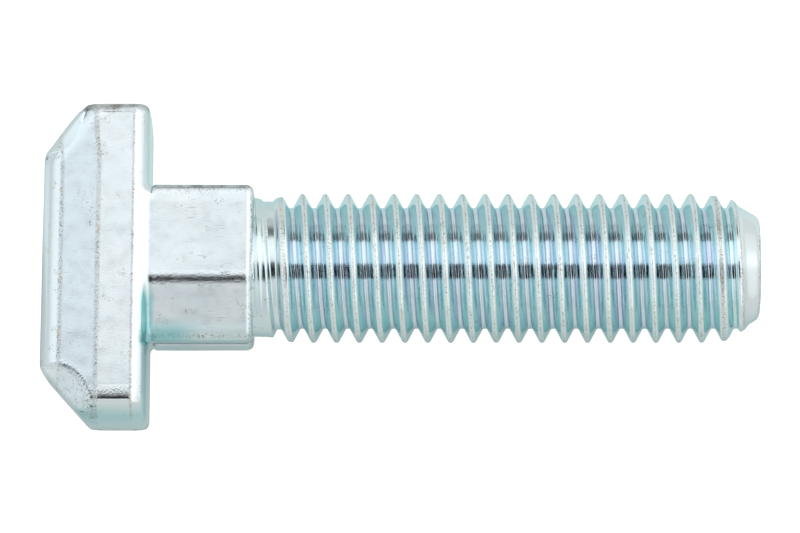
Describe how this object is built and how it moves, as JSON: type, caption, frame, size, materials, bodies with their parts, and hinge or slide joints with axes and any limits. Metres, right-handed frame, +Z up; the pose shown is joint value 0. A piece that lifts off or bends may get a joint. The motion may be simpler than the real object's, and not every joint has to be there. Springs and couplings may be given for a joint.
{
  "type": "hammer head bolt",
  "caption": "Steel hammer head bolt: a T head that turns into a slot, a square neck, and a metric thread up to the neck.",
  "frame": {"origin": "on the thread's axis, in the plane of the head's two bearing faces, where the square neck leaves the head", "axes": "+X along the thread's axis towards the tip; +Y along the head; +Z up, square to one side of the head: the bolt lies on the opposite side"},
  "size_m": [0.047, 0.0208, 0.01],
  "materials": {
    "zinc_plated_steel": "bright zinc plating with a clear blue passivation, on forged and thread-rolled steel"
  },
  "bodies": {
    "root": {"hammer_head_bolt": "zinc_plated_steel"}
  },
  "joints": []
}
